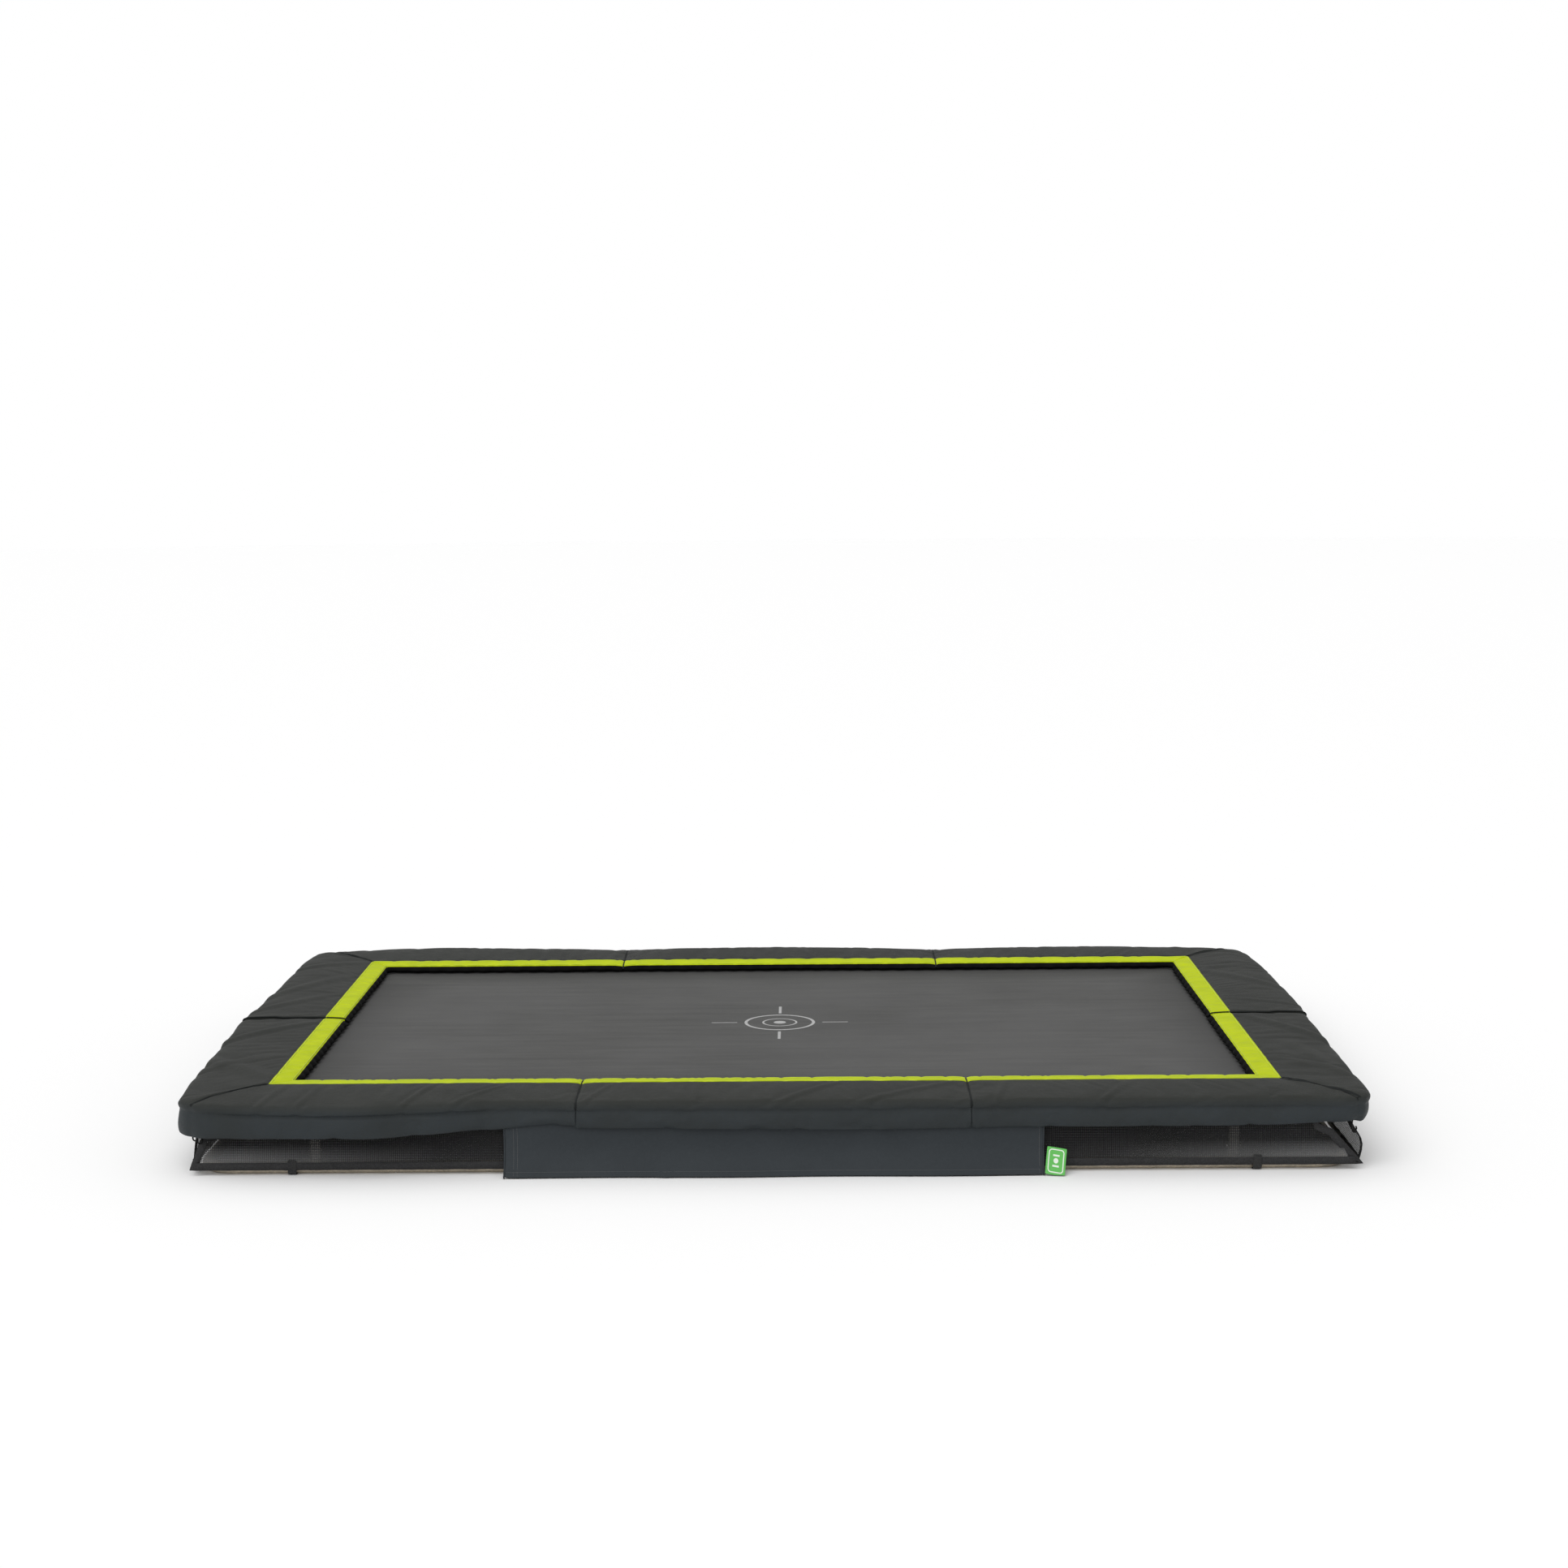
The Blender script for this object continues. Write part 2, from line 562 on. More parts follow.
def underPlace(row, inset, z):  # the inner side of the flap, and the pad's flat underside
    if row < flapRows:
        return inset + padCut["underGap"], z + (0.0004 if row == 0 else 0)
    if row >= lipRow:
        return 0.2936 + 0.0010 * (row - lipRow), padCut["under"]
    return max(inset, 0.0125 + 0.0015 * (row - flapRows)), padCut["under"]


def endRounded(z, edge, under):  # the foam's ends are rounded over
    if edge >= padCut["endRound"]:
        return z
    k = math.sqrt(max(0.0, 1 - (1 - edge / padCut["endRound"]) ** 2))
    middle = padCut["under"] + (0.0 if under else 0.010)
    return middle + (z - middle) * (padCut["endShare"] + (1 - padCut["endShare"]) * k)


def topShift(station, sy, place, inset, row):  # the crown, its folds, and what the seams pull down
    kind, turn, edge = station
    run = min(edge, 0.6) / 0.6
    across = math.sin(math.pi * min(max(inset / padCut["crown"], 0.0), 1.0))
    shift = (0.0040 * math.sin(math.pi * run / 2) - 0.0012 + 0.0016 * wave((*place, 0), 1, 2.2)) * across
    shift += foldLift(*place) * min(1.0, edge / 0.03) * min(1.0, max(0.0, (limeRow + 3 - row) / 4))
    if inset > 0.10 and edge < 0.06:
        shift -= 0.0035 * (1 - edge / 0.06) ** 2
    if kind == 2 and edge < 0.07:  # one corner pad lies lower than the next where they meet
        shift += (-0.0085 if sy < 0 else 0.0035) * (1 - edge / 0.07) ** 2
    if kind == 1 and 0.008 < inset < 0.30:  # the mitre seam pulls the cover down
        shift -= padCut["seamDip"] * max(0.0, 1 - abs(turn - 0.5) * padCut["fan"] / padCut["mitreWide"])
    return shift


def flapHeight(place, lift, z):  # the flap hangs as low as its hem says, from a ridge that may be lower
    low, top = coverRows[0][1], coverRows[flapRows - 1][1]
    z = top - (top - z) * (top - hemHeight(*place)) / (top - low)
    return z + 0.5 * lift * (z - 0.14) / (top - 0.14)


def flapPush(station, side, along, place, row):  # how the flap strays outwards
    (kind, _, edge), (x, y), down = station, place, 1 - row / flapRows
    push = 0.0030 * wave((x, y, row * 0.10), 9, 5.0) * down  # loose waves
    if kind != 2:  # puckers beside a joint
        push += 0.0045 * math.sin(along * 150 + row * 0.5) * math.exp(-edge / 0.035) * down
    if row < flapRows - 1 and x > 1.6 and y < -1.0:
        push -= 0.017 * (1 - row / (flapRows - 1)) * min(1.0, (x - 1.6) / 0.2)
    if row == flapRows - 1:  # the ridge's foam bulges over the flap's top seam
        tuck = 0.0045 * (0.5 + 0.5 * wave((x, y, 0.7), 8, 1.4)) + (0.004 if side == "front" and x < -0.9 else 0.0)
        push -= tuck * min(1.0, max(0.0, (halfLength - 0.06 - abs(x)) / 0.10))
    return push


def coverPoint(station, sx, sy, row, under):
    kind, turn, edge = station
    inset, z = coverRows[row]
    if under:
        inset, z = underPlace(row, inset, z)
    x, y = (turn, halfWidth - inset) if kind == 3 else cornerPlace(station, inset)
    x, y = x * sx, y * sy
    side, along = sidesAt(x, y)
    lift = between(ridgeLift[side], along)
    outer = max(0.0, 1 - max(inset, 0.0) / padCut["foamSide"])
    ease = outer * outer * (3 - 2 * outer)
    # the outer edge bellies out between the corners
    push = between(belly[side], along) * ease + 0.0030 * wave((x, y, 0.3), 2, 3.4) * outer
    if row < flapRows:
        z = flapHeight((x, y), lift, z)
        push += flapPush(station, side, along, (x, y), row)
    else:
        z = endRounded(z, edge, under)
        if not under:
            z += lift * ease + topShift(station, sy, (x, y), inset, row)
    if row > lipRow and not under:  # the lip is gathered
        deep = (row - lipRow) / (len(coverRows) - 1 - lipRow)
        gather = 0.7 + 0.5 * wave((x, y, 0.2), 5, 4.0) + 0.45 * math.sin(along * 95)
        push -= padCut["lipFlare"] * deep * gather
        z -= 0.0030 * deep * wave((x, y, 0.9), 6, 9.0)
    nx, ny = sides[side]
    if kind == 1:  # round the bend both neighbours pull
        nx, ny = sx * turn, sy * (1 - turn)
    else:
        push *= min(1.0, abs((halfLength - abs(x)) - (halfWidth - abs(y))) / 0.10)
    return Vector((x + nx * push, y + ny * push, z))


def holdWeight(station, row, under):  # how firmly the foam, seams and tapes hold the cover
    if station[2] < 0.006:
        return 1.0
    if under:
        return 1.0 if row >= flapRows - 1 else 0.30
    if station[0] == 1 and abs(station[1] - 0.5) * padCut["fan"] < 0.6:
        return 0.9
    if row in (flapRows - 1, limeRow, lipRow):
        return 0.75
    if row >= lipRow:
        return 0.6
    return 0.12 if row < flapRows - 1 else 0.17


def sewTrim(name, piece, stations, rows, count):  # end bindings, lime piping and the tape on the mitre seam
    def spot(row, column):  # the outer grid's points come first, column by column
        return piece.data.vertices[column * (rows + 1) + row].co.copy()

    bm = bmesh.new()
    for column, inwards in ((0, 1), (count, -1)):
        line = [spot(row, column) * 0.75 + spot(row, column + inwards) * 0.25 for row in range(flapRows, rows)]
        tube(bm, line, 0.0023, 6)
    ends = seat(bm, name.replace("padCover", "padBinding"), seamTape)
    bm = bmesh.new()
    for row in (limeRow + 1, lipRow - 1):
        tube(bm, [spot(row, column) for column in range(1, count)], 0.0015, 5)
    edging = seat(bm, name.replace("padCover", "limePiping"), limeEdge)
    mitres = [column for column, station in enumerate(stations) if station[0] == 1 and abs(station[1] - 0.5) < 0.01]
    if not mitres:
        return
    line = [spot(row, mitres[0]) for row in range(flapRows + 2, limeRow + 1)]
    faces = [tuple(face.vertices) for face in piece.data.polygons]
    tree = BVHTree.FromPolygons([vert.co for vert in piece.data.vertices], faces)
    wide = padCut["tapes"]["right" if line[0].x > 0 else "left"]
    bm = bmesh.new()

    def place(row, column):
        ahead = line[min(column + 1, len(line) - 1)] - line[max(column - 1, 0)]
        across = Vector((ahead.y, -ahead.x, 0)).normalized()
        over = line[column] + across * wide * (row / 4 - 0.5)
        hit = tree.ray_cast(over + Vector((0, 0, 0.04)), Vector((0, 0, -1)))[0]
        lift = 0.0006 if row in (0, 4) else 0.0016 if row in (1, 3) else 0.0010
        return Vector((over.x, over.y, (hit.z if hit else line[column].z) + lift))

    gridOf(bm, 4, len(line) - 1, place)
    tape = seat(bm, name.replace("padCover", "mitreTape"), seamTape)


def padPiece(name, node, sx, sy, stations):
    rows, count = len(coverRows) - 1, len(stations) - 1
    bm = bmesh.new()
    layer = bm.verts.layers.deform.verify()
    tops = gridOf(bm, rows, count, lambda r, c: coverPoint(stations[c], sx, sy, r, False))
    unders = gridOf(bm, rows, count, lambda r, c: coverPoint(stations[c], sx, sy, r, True))
    rims = [edge for edge in bm.edges if edge.is_boundary]
    rowOf = {vert: row for (row, _), vert in tops.items()}
    for face in bm.faces:
        lowest = min(rowOf.get(vert, -1) for vert in face.verts)
        face.material_index = 2 if lowest >= lipRow else 1 if lowest >= limeRow else 0
    for under, grid in ((False, tops), (True, unders)):
        for (row, column), vert in grid.items():
            vert[layer][0] = holdWeight(stations[column], row, under)
    bmesh.ops.bridge_loops(bm, edges=rims)
    for face in bm.faces:
        if face.material_index == 0 and min(rowOf.get(vert, lipRow) for vert in face.verts) >= lipRow:
            if any(vert in rowOf for vert in face.verts):
                face.material_index = 2
    piece = seat(bm, name, charcoal, lime, lipBlack, crease=180)
    piece.vertex_groups.new(name="hold")
    settle(piece)
    sewTrim(name, piece, stations, rows, count)
    subdivided(piece)
    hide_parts(node)


padCloth = {
    "quality": 5, "mass": 0.25, "tension_stiffness": 20, "compression_stiffness": 20, "shear_stiffness": 8,
    "bending_stiffness": 0.35, "vertex_group_mass": "hold", "pin_stiffness": 1.0, "shrink_min": -0.0065,
}


def settle(piece, frames=18, cap=0.010):  # lets the cloth find its own wrinkles, then keeps them
    before = [vert.co.copy() for vert in piece.data.vertices]
    cloth = piece.modifiers.new("cloth", "CLOTH")
    for name, value in padCloth.items():
        setattr(cloth.settings, name, value)
    cloth.settings.effector_weights.gravity = 0
    cloth.collision_settings.use_collision = False
    cloth.point_cache.frame_start, cloth.point_cache.frame_end = 1, frames
    for at in range(1, frames + 1):
        scene.frame_set(at)
    shaped = piece.evaluated_get(bpy.context.evaluated_depsgraph_get())
    after = [vert.co.copy() for vert in shaped.data.vertices]
    piece.modifiers.remove(cloth)
    scene.frame_set(1)
    for vert, old, new in zip(piece.data.vertices, before, after):
        step = new - old
        if step.length > cap:
            step *= cap / step.length
        vert.co = old + step


def makePads():
    for side, sy in (("front", -1), ("back", 1)):
        padPiece(f"padCover_{side}_middle", f"pad_{side}_middle", 1, sy, middleStations())
        for end, sx in (("left", -1), ("right", 1)):
            padPiece(f"padCover_corner_{side}_{end}", f"pad_corner_{side}_{end}", sx, sy, padEnds())


seamTape = plainFinish("seamTape", (0.014, 0.016, 0.016, 1), 0.6, gloss=0.08)
limeEdge = plainFinish("limeEdging", (0.62, 0.74, 0.06, 1), 0.5, gloss=0.10)
makePads()
print("pads made")

# Jumping mat, hem and springs

bed = {"railX": 1.79, "railY": 1.18, "dish": 1.4, "cellsX": 96, "cellsY": 60, "cornerCut": 0.08, "hemWide": 0.040}


def bedField(piece):  # how much of the bounce each point takes: all at the middle, none at the rail
    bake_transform(piece, "frame", "mat", start=(0, 0, 0), end=(0, 0, 1))
    field = piece.data.attributes["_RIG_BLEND"]
    for vert in piece.data.vertices:
        x, y = min(abs(vert.co.x) / bed["railX"], 1), min(abs(vert.co.y) / bed["railY"], 1)
        field.data[vert.index].value = ((1 - x * x) * (1 - y * y)) ** bed["dish"]
    return piece


def thicken(bm, faces, depth):  # a doubled sheet, straight down
    made = bmesh.ops.extrude_face_region(bm, geom=withEdges(faces), use_keep_orig=True)["geom"]
    bmesh.ops.translate(bm, verts=[g for g in made if isinstance(g, bmesh.types.BMVert)], vec=(0, 0, -depth))
    bmesh.ops.recalc_face_normals(bm, faces=bm.faces[:])


def withEdges(faces):
    return list(faces) + list({edge for face in faces for edge in face.edges})


def cutCorners(bm, half, cut):
    for sx in (-1, 1):
        for sy in (-1, 1):
            place = Vector((sx * half.x, sy * (half.y - cut), 0))
            geom = bm.verts[:] + bm.edges[:] + bm.faces[:]
            bmesh.ops.bisect_plane(bm, geom=geom, plane_co=place, plane_no=(sx, sy, 0), clear_outer=True, dist=1e-6)


def matFinish():
    look = Finish("wovenMat", 0.6)
    x, y = look.axis(look.coords, "X"), look.axis(look.coords, "Y")
    streaks = look.noise(look.scaled(look.coords, (2.2, 150.0, 1.0)), 3.0, 4.0, 0.65)
    strips = look.noise(look.scaled(look.coords, (0.9, 16.0, 1.0)), 2.4, 3.0, 0.62)
    clouds = look.noise(look.coords, 1.7, 3.0, 0.6)
    base = look.mix(streaks.spread(0.3, 0.7, 0.0, 1.0), grey(0.056, -0.03), grey(0.105, -0.03))
    base = look.mix(strips.spread(0.38, 0.66, 0.0, 0.55), base, grey(0.052))
    base = look.mix(clouds.spread(0.35, 0.65, 0.0, 0.35), base, grey(0.115))
    edgeX = x.math("ABSOLUTE").step(1.47, 0.40)
    edgeY = y.math("ABSOLUTE").step(0.85, 0.36)
    base = look.mix(edgeX.math("MAXIMUM", edgeY) * 0.55, base, grey(0.020))
    dx, dy = (x - printed["x"]).math("ABSOLUTE"), (y - printed["y"]).math("ABSOLUTE")
    away = ((x - printed["x"]).math("POWER", 2.0) + (y - printed["y"]).math("POWER", 2.0)).math("SQRT")
    ring = away.within(printed["ring"], 0.0055, 0.003)
    inner = away.within(printed["inner"], 0.0035, 0.003)
    disc = 1 - away.step(printed["disc"], 0.003)
    lines = dy.within(0.0, 0.0035, 0.003) * dx.within(0.200, 0.046, 0.003)
    ticks = dx.within(0.0, 0.0050, 0.003) * dy.within(0.209, 0.058, 0.003)
    mark = ring
    for drawn in (inner, disc, lines, ticks):
        mark = mark.math("MAXIMUM", drawn)
    worn = look.noise(look.coords, 160.0, 2.0).spread(0.3, 0.6, 0.65, 0.95)
    base = look.mix(mark * worn, base, grey(0.50))
    look.set("Base Color", base)
    look.set("Specular IOR Level", 0.18)
    look.set("Roughness", 0.52 + streaks * 0.16)
    weave = (x * 2400.0).math("SINE") * (y * 3400.0).math("SINE")
    under = look.bump(strips + clouds, 0.0012, 0.5)
    look.set("Normal", look.bump(weave * 0.4 + streaks, 0.0005, 0.55, under))
    return look.material


printed = {"x": 0.009, "y": 0.020, "ring": 0.122, "inner": 0.060, "disc": 0.022}


def makeMat():
    half = matBox[1]
    bm = bmesh.new()

    def place(row, column):
        x = (row / bed["cellsX"] * 2 - 1) * half.x
        y = (column / bed["cellsY"] * 2 - 1) * half.y
        middle = (1 - (x / half.x) ** 2) * (1 - (y / half.y) ** 2)
        return Vector((x, y, half.z - 0.0030 * middle + 0.0008 * wave((x, y, 0), 8, 2.5) * middle))

    gridOf(bm, bed["cellsX"], bed["cellsY"], place)
    cutCorners(bm, half, bed["cornerCut"])
    thicken(bm, bm.faces[:], 0.0018)
    piece = bedField(seat(bm, "wovenMat", matFinish(), body=None))
    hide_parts("jumping_mat")


def octagon(halfX, halfY, cut, z):
    corners = []
    for sx, sy in ((1, 1), (-1, 1), (-1, -1), (1, -1)):
        pair = [(sx * halfX, sy * (halfY - cut), z), (sx * (halfX - cut), sy * halfY, z)]
        corners += pair if sx == sy else reversed(pair)
    return corners


def flatRing(bm, outer, inner):  # a band between two closed outlines
    loops = []
    for outline in (outer, inner):
        verts = [bm.verts.new(p) for p in outline]
        loops += [bm.edges.new((verts[i - 1], verts[i])) for i in range(len(verts))]
    bmesh.ops.bridge_loops(bm, edges=loops)


def makeHem():
    half, cut, wide = matBox[1], bed["cornerCut"], bed["hemWide"]
    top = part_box("mat_hem")[1].z
    shorter = 0.586  # a corner's cut gets this much shorter for each metre inwards
    bm = bmesh.new()
    inner = octagon(half.x - wide, half.y - wide, cut - wide * shorter, top)
    flatRing(bm, octagon(half.x, half.y, cut, top), inner)
    longEdges = [edge for edge in bm.edges if edge.calc_length() > 0.5]
    bmesh.ops.subdivide_edges(bm, edges=longEdges, cuts=47, use_grid_fill=True)
    thicken(bm, bm.faces[:], 0.0018)
    hem = bedField(seat(bm, "matHem", webbing, body=None))
    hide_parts("mat_hem")
    # two rows of stitches on the hem
    bm = bmesh.new()
    for inset in (0.006, 0.033):
        line = octagon(half.x - inset, half.y - inset, cut - inset * shorter, top + 0.0003)
        addStitches(bm, [Vector(p) for p in line] + [Vector(line[0])], 0.0075, 0.0050, 0.0011)
    stitches = bedField(seat(bm, "hemStitches", threadBlack, body=None, smooth=False))


def addStitches(bm, line, pitch, length, wide, normal=Vector((0, 0, 1))):  # short thread runs along a line
    left = 0.0
    for a, b in zip(line, line[1:]):
        run, way = (b - a).length, (b - a).normalized()
        if run < 1e-6:
            continue
        turn = Matrix((way, normal.cross(way), normal)).transposed().to_4x4()
        at = left
        while at < run:
            size = Matrix.Diagonal((length, wide, wide * 0.7, 1))
            matrix = Matrix.Translation(a + way * at) @ turn @ size
            bmesh.ops.create_cube(bm, size=1.0, matrix=matrix)
            at += pitch
        left = at - run


spring = {
    "pitch": 0.14, "wire": 0.0015, "radius": 0.0070, "turns": 16, "hook": 0.016,
    "ring": 0.026, "ringHalf": 0.017, "ringWire": 0.0014, "tape": 0.018,
    "railX": 1.809, "railY": 1.199, "sleeve": 0.0238, "gap": 0.001,
}


def springMesh(length):  # lies along +X from its V ring at 0 to the rail hook at length
    bm = bmesh.new()
    r, wire, hook = spring["radius"], spring["wire"], spring["hook"]
    body = length - 2 * hook
    steps = spring["turns"] * 9
    facing = Matrix.Rotation(math.pi / 2, 4, "Y") @ Matrix.Rotation(math.pi / 2, 4, "X")
    start = Matrix.Translation((hook, 0, r)) @ facing
    ring = bmesh.ops.create_circle(bm, segments=5, radius=wire, matrix=start, cap_ends=True)["verts"]
    edges = {edge for vert in ring for edge in vert.link_edges}
    bmesh.ops.spin(
        bm, geom=list(ring) + list(edges), cent=(hook, 0, 0), axis=(1, 0, 0), dvec=(body / steps, 0, 0),
        angle=math.tau * spring["turns"], steps=steps,
    )
    for x, way in ((0.0, 1), (length, -1)):  # hooks
        points = [(x + way * hook, 0, r), (x + way * (hook - 0.003), 0, r * 0.5)]
        for a in (0.3, 1.2, 2.1, 3.0, 3.9, 4.8):
            points.append((x + way * (0.006 + 0.006 * math.cos(a)), 0, 0.006 * math.sin(a)))
        tube(bm, points, wire, 5)
    return meshOf(bm, "springMaster")


def ringMesh():  # a triangular wire ring, its flat side in the tape at -ring, its point at 0
    bm = bmesh.new()
    a, half = spring["ring"], spring["ringHalf"]
    points = [(0.002, 0.003, 0), (0.002, -0.003, 0), (-a + 0.004, -half, 0)]
    points += [(-a, -half + 0.003, 0), (-a, half - 0.003, 0), (-a + 0.004, half, 0)]
    tube(bm, points, spring["ringWire"], 6, closed=True)
    return meshOf(bm, "ringMaster")


def makeSprings():
    half = matBox[1]
    tape = spring["tape"]
    for side, (nx, ny) in sides.items():
        edge = half.x if nx else half.y
        rail = (spring["railX"] if nx else spring["railY"]) - spring["sleeve"] - spring["gap"]
        start = edge + tape + spring["ring"] - 0.004
        count = 13 if nx else 22
        coil, ring = springMesh(rail - start), ringMesh()
        bm, tapes = bmesh.new(), bmesh.new()
        turn = Matrix.Rotation(math.atan2(ny, nx), 4, "Z")
        for i in range(count):
            along = (i - (count - 1) / 2) * spring["pitch"]
            at = Vector((nx * start, ny * start, half.z - 0.0010)) + Vector((-ny, nx, 0)) * along
            for master in (coil, ring):
                old = set(bm.verts)
                bm.from_mesh(master)
                new = [vert for vert in bm.verts if vert not in old]
                bmesh.ops.transform(bm, verts=new, matrix=Matrix.Translation(at) @ turn)
            # the tape's loop round the ring
            size = Matrix.Diagonal((tape + 0.008, 0.030, 0.0034, 1))
            place = Matrix.Translation(at - Vector((nx, ny, 0)) * (spring["ring"] + tape / 2 - 0.006)) @ turn @ size
            bmesh.ops.create_cube(tapes, size=1.0, matrix=place)
        edges = tapes.edges[:]
        bmesh.ops.bevel(tapes, geom=edges, offset=0.0011, segments=1, profile=0.5, affect="EDGES", material=-1)
        row = bedField(seat(bm, f"coilSprings_{side}", zincWire, body=None))
        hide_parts(f"spring_row_{side}")
        loops = bedField(seat(tapes, f"ringTapes_{side}", webbing, body=None, smooth=False))


threadBlack = plainFinish("blackThread", grey(0.030), 0.7)
threadGrey = plainFinish("greyThread", grey(0.110), 0.7)
makeMat()
makeHem()
makeSprings()
print("mat, hem and springs made")

# Nets, skirts, straps and tag

hang = {"y": 1.2308, "x": 1.8408, "low": 0.020, "high": 0.196, "skirtY": 1.2356, "skirtFlare": 0.054, "cell": 0.02}


def skirtOut(z):  # how far the skirt kicks out near the floor
    t = max(0.0, 1 - z / 0.115)
    return hang["skirtFlare"] * t * t


def netPiece(side):
    nx, ny = sides[side]
    long = not nx
    reach = 1.838 if long else 1.222
    if side == "front":
        ends = ((-1.842, -1.800), (1.850, 1.752))  # x at the floor and at 0.13 high
    elif long:
        ends = ((-1.845, -1.800), (1.845, 1.800))
    else:
        ends = ((-1.205, -1.190), (1.205, 1.190))
    count = round(2 * reach / hang["cell"])
    rows = 10
    bm = bmesh.new()

    def place(row, column):
        t = row / rows
        z = hang["low"] + (hang["high"] - hang["low"]) * t
        up = (z - hang["low"]) / 0.11
        limit = reach - 0.125 if z > 0.139 else reach + 0.02
        a, b = (max(min(low + (high - low) * up, limit), -limit) for low, high in ends)
        along = a + (b - a) * column / count
        sag = 0.010 * math.sin(math.pi * min(t * 1.1, 1.0)) * (0.55 + 0.45 * wave((along, t * 0.3, 0), 12, 3.0))
        ruffle = 0.0035 * wave((along * 2.2, t * 1.5, 0.4), 13, 3.0) * (0.3 + t)
        covered = long and abs(along) < 0.88
        inward = (sag + ruffle) * (0.35 if covered else 1.0) + 0.012 * t
        if side == "right" and along < -0.9:
            inward -= 0.022 * math.sin(math.pi * min(t * 1.6, 1.0)) * min(1.0, (-0.9 - along) / 0.2)
        away = (hang["y"] if long else hang["x"]) - max(inward, -0.024)
        return Vector((along, ny * away, z)) if long else Vector((nx * away, along, z))

    def uv(row, column):
        point = place(row, column)
        return (point.x if long else point.y), row / rows * (hang["high"] - hang["low"])

    gridOf(bm, rows, count, place, uv)
    net = seat(bm, f"meshNet_{side}", meshCloth, crease=180)
    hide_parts(f"side_net_{side}")
    # the bound edge: a folded tape round the net's outline
    outline = [place(0, c) for c in range(count + 1)] + [place(r, count) for r in range(1, rows + 1)]
    outline = [place(r, 0) for r in range(rows, 0, -1)] + outline
    bm = bmesh.new()
    bandGrid(bm, outline, side)
    binding = seat(bm, f"netBinding_{side}", hemTape, crease=180)
    walled(binding, 0.0024)


def bandGrid(bm, outline, side):  # a tape beside an outline, lying in the net's own face
    nx, ny = sides[side]
    middle = Vector((0, ny * hang["y"], 0.11)) if not nx else Vector((nx * hang["x"], 0, 0.11))
    out = Vector((nx, ny, 0))
    wide = 0.024

    def place(row, column):
        point = outline[column]
        ahead = outline[min(column + 1, len(outline) - 1)] - outline[max(column - 1, 0)]
        across = out.cross(ahead).normalized()
        if across.dot(Vector((0, 0, 1)) * 0.3 + (middle - point).normalized()) < 0:
            across = -across
        return point + across * wide * (row / 2 - 0.12) + out * (0.0012 + 0.0010 * math.sin(column * 1.3))

    gridOf(bm, 2, len(outline) - 1, place)


def skirtPiece(side):
    ny = sides[side][1]
    half, low, high = 0.85, 0.0030, 0.196
    bm = bmesh.new()

    def place(row, column):
        x = (column / 84 * 2 - 1) * half
        z = low + (high - low) * row / 14
        t = 1 - z / high
        fold = 0.0030 * wave((x * 1.3, z * 2, 0.1), 21, 2.6) + 0.0025 * math.sin((x + 0.35) * 9.0) * t
        seam = 0.0018 * (math.exp(-((x + half - 0.036) / 0.004) ** 2) + math.exp(-((z - 0.022) / 0.004) ** 2))
        crease = 0.005 * math.exp(-((x + 0.345 - z * 0.10) / 0.012) ** 2) if side == "front" else 0.0
        away = hang["skirtY"] + skirtOut(z) + (fold + 0.0015) * t - seam * 0.6 + crease * t
        return Vector((x - 0.004 * t * (1 if x > 0 else -1), ny * away, z))

    gridOf(bm, 14, 84, place)
    skirt = seat(bm, f"skirtPanel_{side}", skirtVinyl, crease=180)
    walled(skirt, 0.0014)
    subdivided(skirt)
    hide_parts(f"skirt_panel_{side}")
    # stitched seams, the hem and the piping down one edge
    bm = bmesh.new()
    out = Vector((0, ny, 0))

    def onSkirt(x, z):
        return place(z / (high - low) * 14 - low / (high - low) * 14, (x / half + 1) * 42) + out * 0.0012

    lines = [[onSkirt(x, 0.01 + i * 0.0062) for i in range(29)] for x in (-half + 0.030, -half + 0.042)]
    lines.append([onSkirt(-half + 0.01 + i * 0.02, 0.018) for i in range(85)])
    lines.append([onSkirt(half - 0.014, 0.01 + i * 0.0062) for i in range(29)])
    for line in lines:
        addStitches(bm, line, 0.0062, 0.0042, 0.0010, out)
    thread = seat(bm, f"skirtStitches_{side}", threadGrey, smooth=False)
    bm = bmesh.new()
    for x in (half - 0.001, -half + 0.001):
        tube(bm, [onSkirt(x, low + i * 0.0095) for i in range(20)], 0.0026, 8)
    piping = seat(bm, f"skirtPiping_{side}", skirtVinyl)


def strapPiece(side, number, x):
    ny, wide = sides[side][1], 0.028
    path = [(1.2318, 0.050), (1.2336, 0.040), (1.2338, 0.022), (1.2330, 0.010), (1.2290, 0.0036), (1.2210, 0.0016)]
    path += [(1.2100, 0.0012), (1.1900, 0.0012), (1.1780, 0.0050), (1.1756, 0.0200)]
    bm = bmesh.new()

    def place(row, column):
        return Vector((x + (row / 4 - 0.5) * wide + 0.0008 * math.sin(column), ny * path[column][0], path[column][1]))

    gridOf(bm, 4, len(path) - 1, place)
    strap = seat(bm, f"netStrap_{side}_{number}", webbing)
    walled(strap, 0.0014)
    subdivided(strap)
    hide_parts(f"net_strap_{side}_{number}")


def hookPiece(name, x, y, top):  # an elastic tail with a plastic hook, hanging under the flap
    bm = bmesh.new()
    tube(bm, [(x, y, top + 0.045), (x + 0.002, y, top + 0.015), (x, y, top)], 0.0022, 8)
    points, bend = [(x, y, top)], 0.0075
    for a in (i * 0.5 for i in range(9)):
        points.append((x + bend * (1 - math.cos(a)), y, top - 0.008 - bend * math.sin(a)))
    tube(bm, points, 0.0026, 8)
    hook = seat(bm, name, plasticBlack)


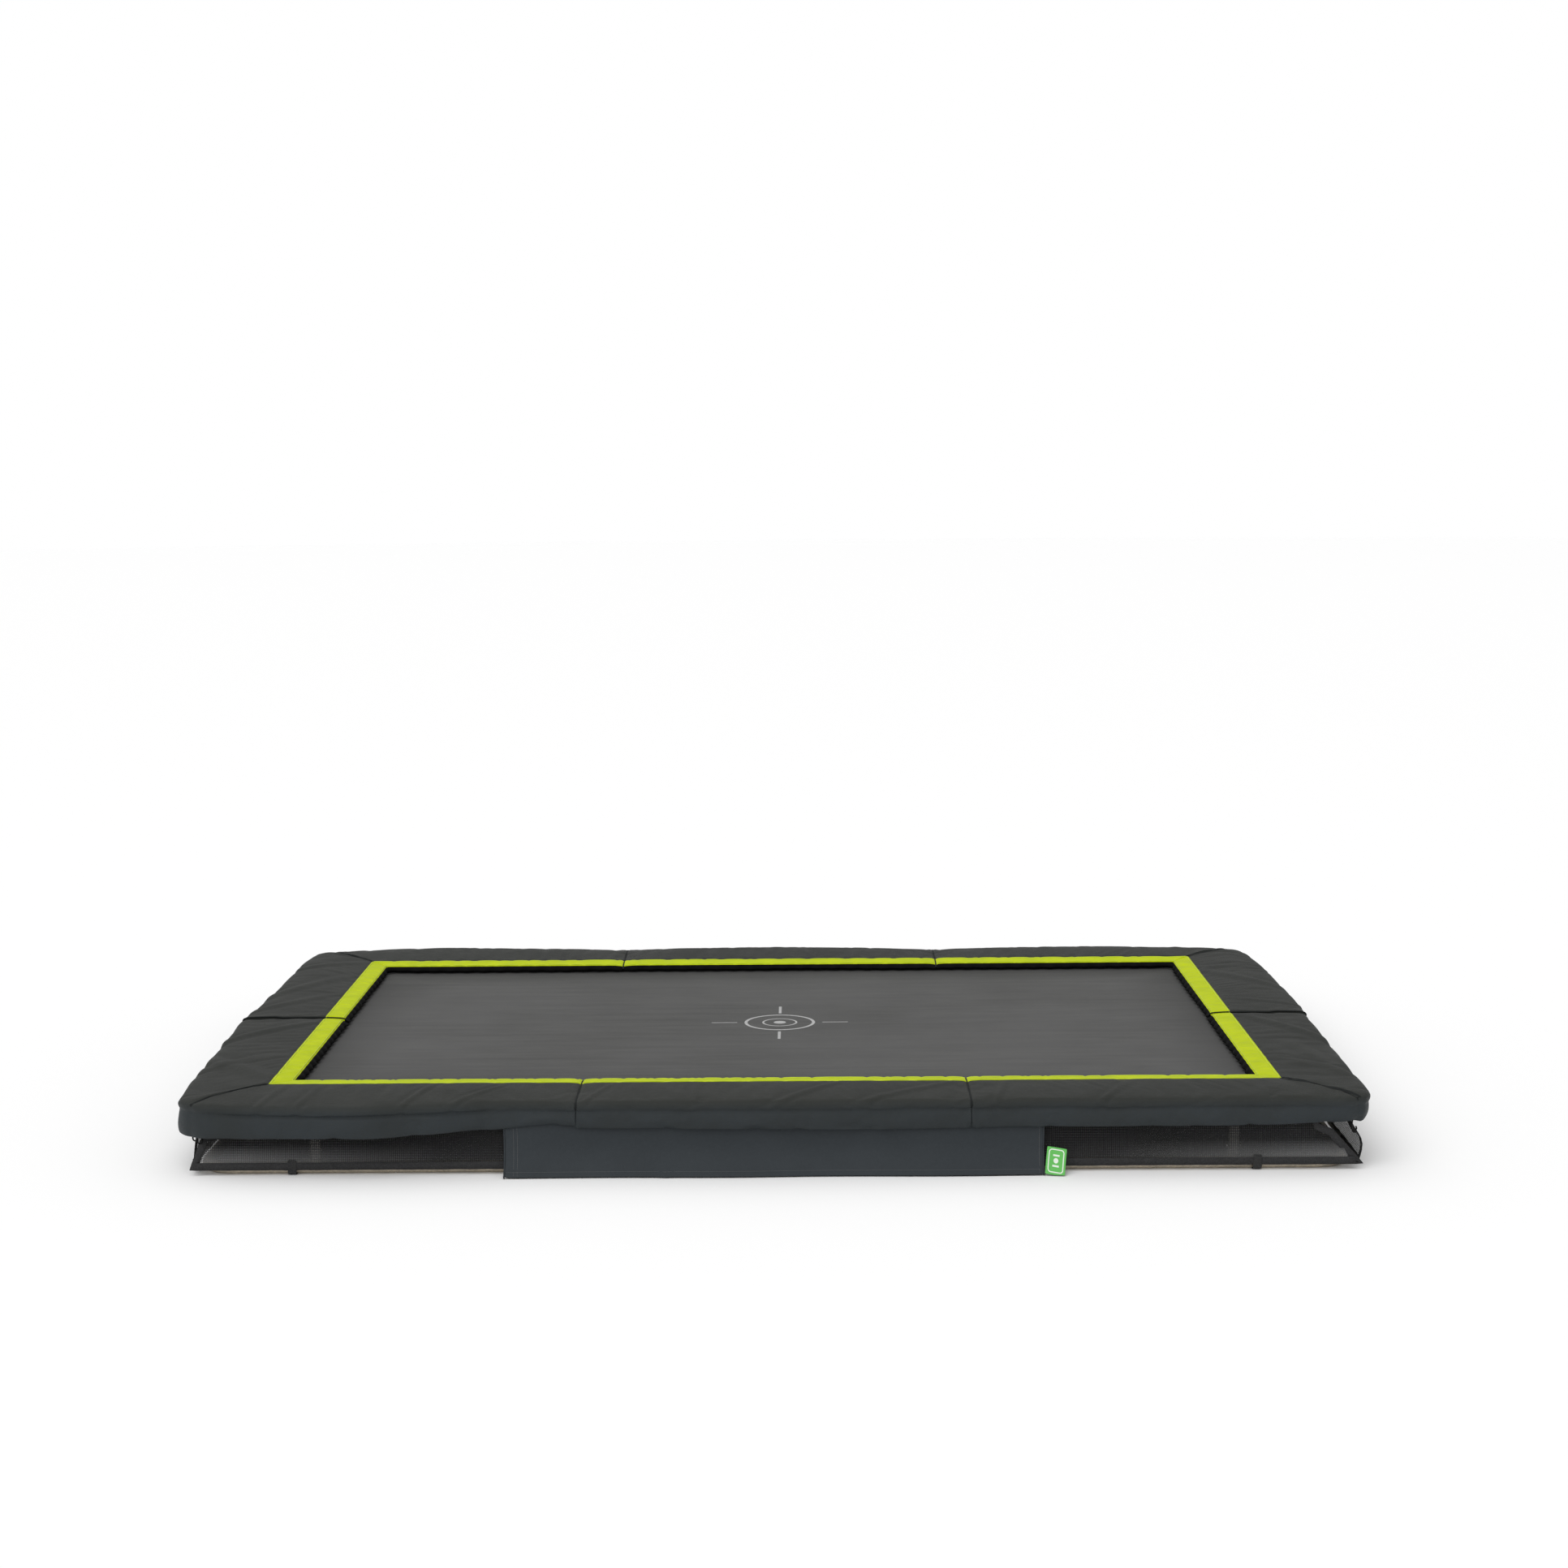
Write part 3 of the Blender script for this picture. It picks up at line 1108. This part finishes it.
def tagPiece():
    low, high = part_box("side_tag")
    middle = (low + high) / 2
    lean, wide, tall, flatTall = math.radians(8), 0.062, 0.078, 0.0885
    bm = bmesh.new()

    def place(row, column):
        u, v = (column / 12 - 0.5) * wide, (row / 14 - 0.5) * tall
        x = middle.x + u * math.cos(lean) + v * math.sin(lean) + 0.022
        z = max(middle.z - 0.022 - u * math.sin(lean) + v * math.cos(lean), 0.0035)
        curl = 0.0045 * (u / wide + 0.5) ** 2 + 0.001 * math.sin(v * 60)
        return Vector((x, -(hang["skirtY"] + skirtOut(z) + 0.0058 + curl), z))

    gridOf(bm, 14, 12, place, lambda r, c: (c / 12, r / 14))
    look = Finish("greenTag", 0.75)
    uv = look.make("ShaderNodeUVMap", {"uv_map": "UVMap"})
    u, v = look.axis(uv, "X"), look.axis(uv, "Y")
    u, v = (u - 0.5).math("ABSOLUTE") * wide, (v - 0.5).math("ABSOLUTE") * tall
    deepU, deepV = (u - 0.014).math("MAXIMUM", 0.0), (v - 0.023).math("MAXIMUM", 0.0)
    away = (deepU * deepU + deepV * deepV).math("SQRT")
    border = away.within(0.0088, 0.0016, 0.0008)
    dot = 1 - (u * u + v * v).math("SQRT").step(0.0075, 0.001)
    bars = u.within(0.0, 0.0100, 0.0010) * v.within(0.0150, 0.0026, 0.0008)
    weave = look.noise(look.coords, 900.0, 2.0)
    green = look.mix(weave, (0.075, 0.38, 0.060, 1), (0.16, 0.56, 0.13, 1))
    mark = border.math("MAXIMUM", dot).math("MAXIMUM", bars)
    look.set("Base Color", look.mix(mark, green, (0.75, 0.82, 0.72, 1)))
    look.set("Normal", look.bump(weave + mark * 1.5, 0.0004, 0.6))
    tag = seat(bm, "wovenTag", look.material, crease=180)
    walled(tag, 0.0012)
    subdivided(tag)
    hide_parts("side_tag")


plasticBlack = plainFinish("blackPlastic", grey(0.006), 0.5, gloss=0.12)
for side in sides:
    netPiece(side)
for side in ("front", "back"):
    skirtPiece(side)
    for number, x in ((1, -1.52), (2, 1.52)):
        strapPiece(side, number, x)
padHooks = {
    "frontLeft1": (-1.831, -1.226, 0.128), "frontLeft2": (-1.816, -1.228, 0.119), "frontRight": (1.815, -1.228, 0.140),
    "backLeft": (-1.822, 1.226, 0.128), "backRight": (1.822, 1.226, 0.130),
}
for name, place in padHooks.items():
    hookPiece(f"padHook_{name}", *place)
tagPiece()
print("nets, skirts, straps and tag made")

# Steel frame

for part in record["subparts"]:
    node = frame["nodes"][part["node"]]
    if part["material_slot"] != "galvanised_steel" and not part["node"].startswith("leg_bolt"):
        continue
    bm = bmesh.new()
    bm.from_mesh(node.data)
    bmesh.ops.remove_doubles(bm, verts=bm.verts[:], dist=1e-5)
    bmesh.ops.dissolve_limit(bm, angle_limit=math.radians(0.5), verts=bm.verts[:], edges=bm.edges[:])
    onGround = part["node"].startswith("base")
    finish = zincWire if "bolt" in part["node"] else groundSteel if onGround else galvanised
    piece = seat(bm, "steel_" + part["node"], finish, crease=38)
    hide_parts(part["node"])
print("steel frame made")
